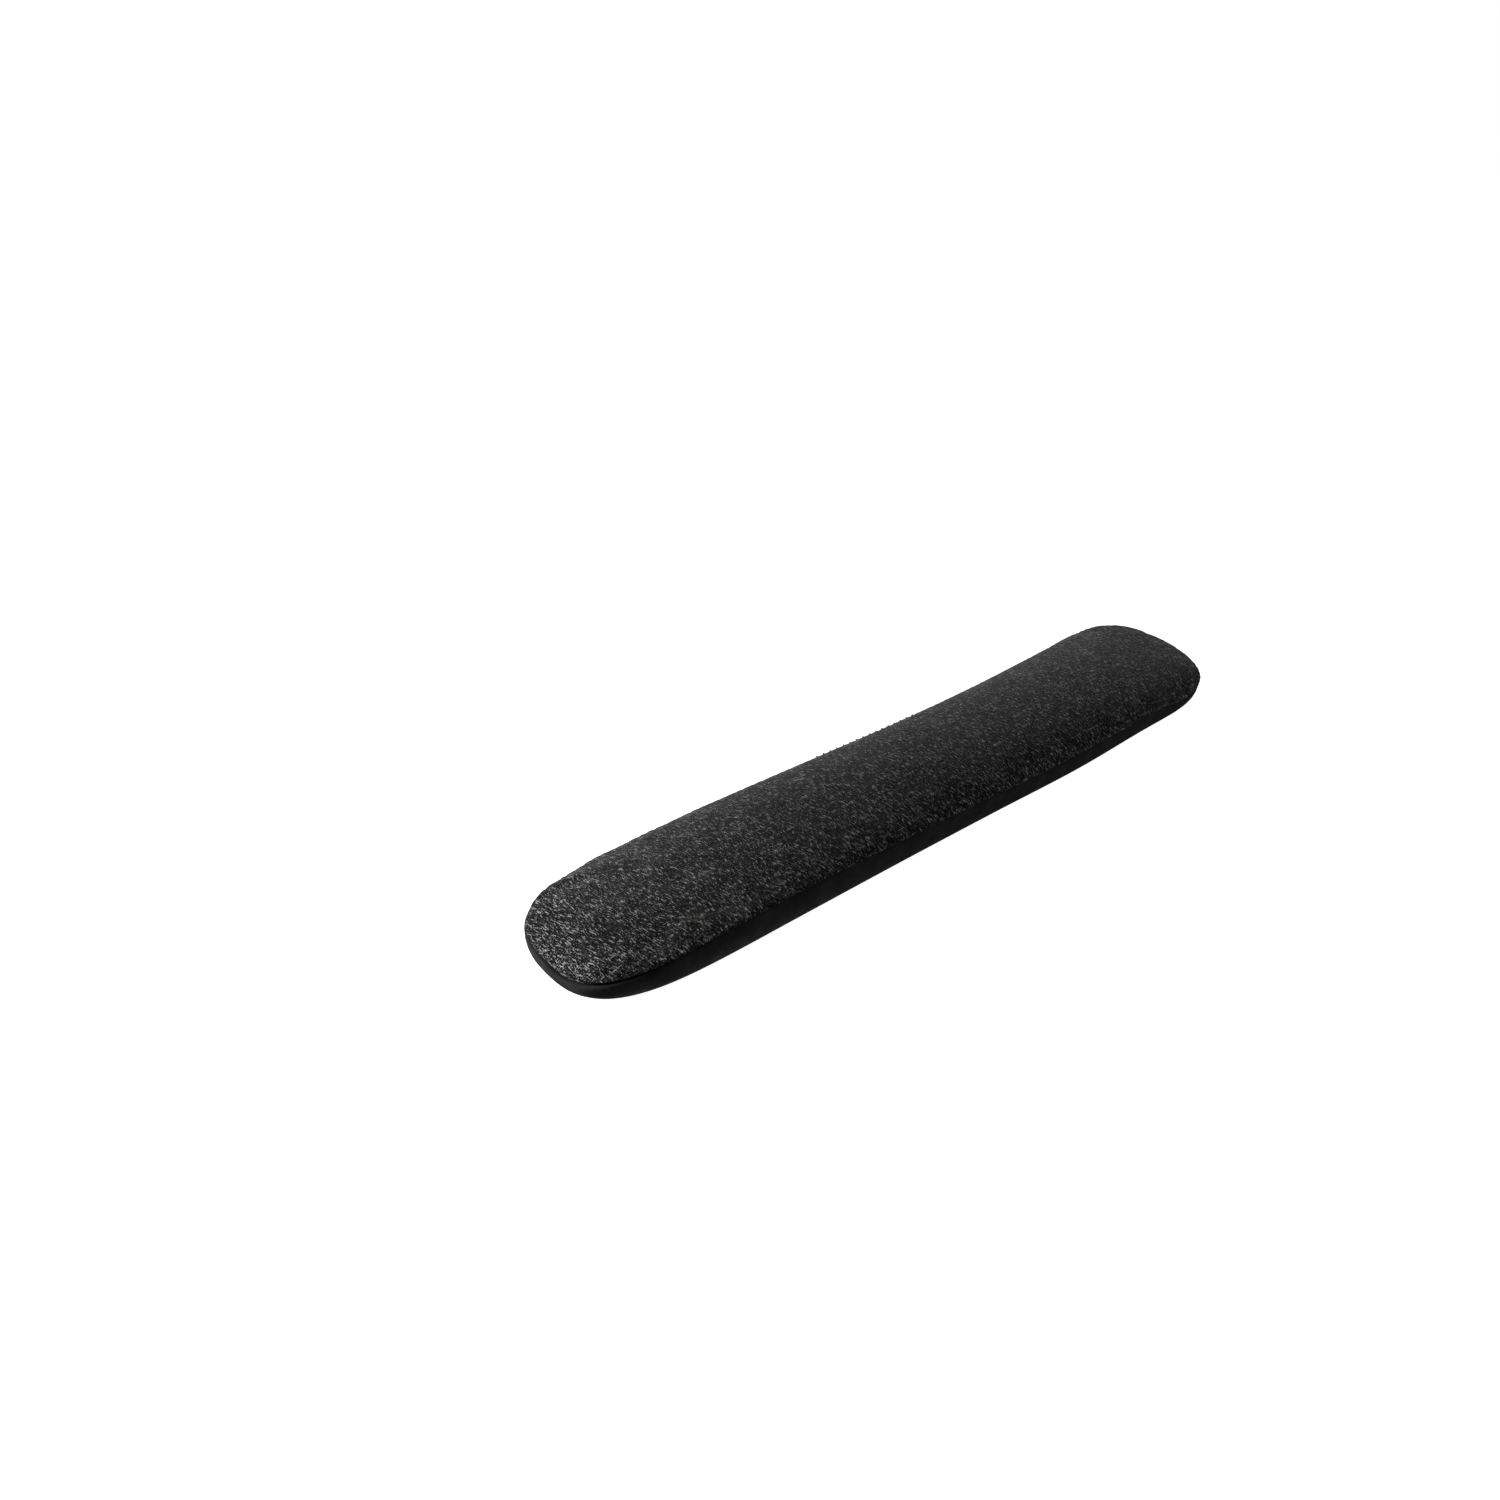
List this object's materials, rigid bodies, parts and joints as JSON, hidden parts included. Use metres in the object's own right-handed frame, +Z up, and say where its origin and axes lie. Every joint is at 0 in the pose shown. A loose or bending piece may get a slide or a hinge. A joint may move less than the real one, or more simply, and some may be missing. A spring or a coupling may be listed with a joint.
{
  "type": "keyboard wrist rest",
  "caption": "Long sewn wrist cushion with a crowned knit top, a deep smooth base, a turned-in edge seam, a waisted back edge, rounded ends and a lined bead fill.",
  "frame": {"origin": "middle of the bounding box, on the flat underside that the cushion rests on", "axes": "+X along the length, to the user's right; +Y away from the user, towards the keyboard; +Z up"},
  "size_m": [0.425, 0.0744, 0.0259],
  "materials": {
    "top_knit": "matte",
    "base_cloth": "matte",
    "thread": "matte",
    "liner_cloth": "matte",
    "fill": "matte"
  },
  "bodies": {
    "root": {"top_cover": "top_knit", "base_cover": "base_cloth", "seam_thread": "thread", "closing_thread": "thread", "liner_top": "liner_cloth", "liner_base": "liner_cloth", "liner_thread": "thread", "bead_fill": "fill"}
  },
  "joints": []
}
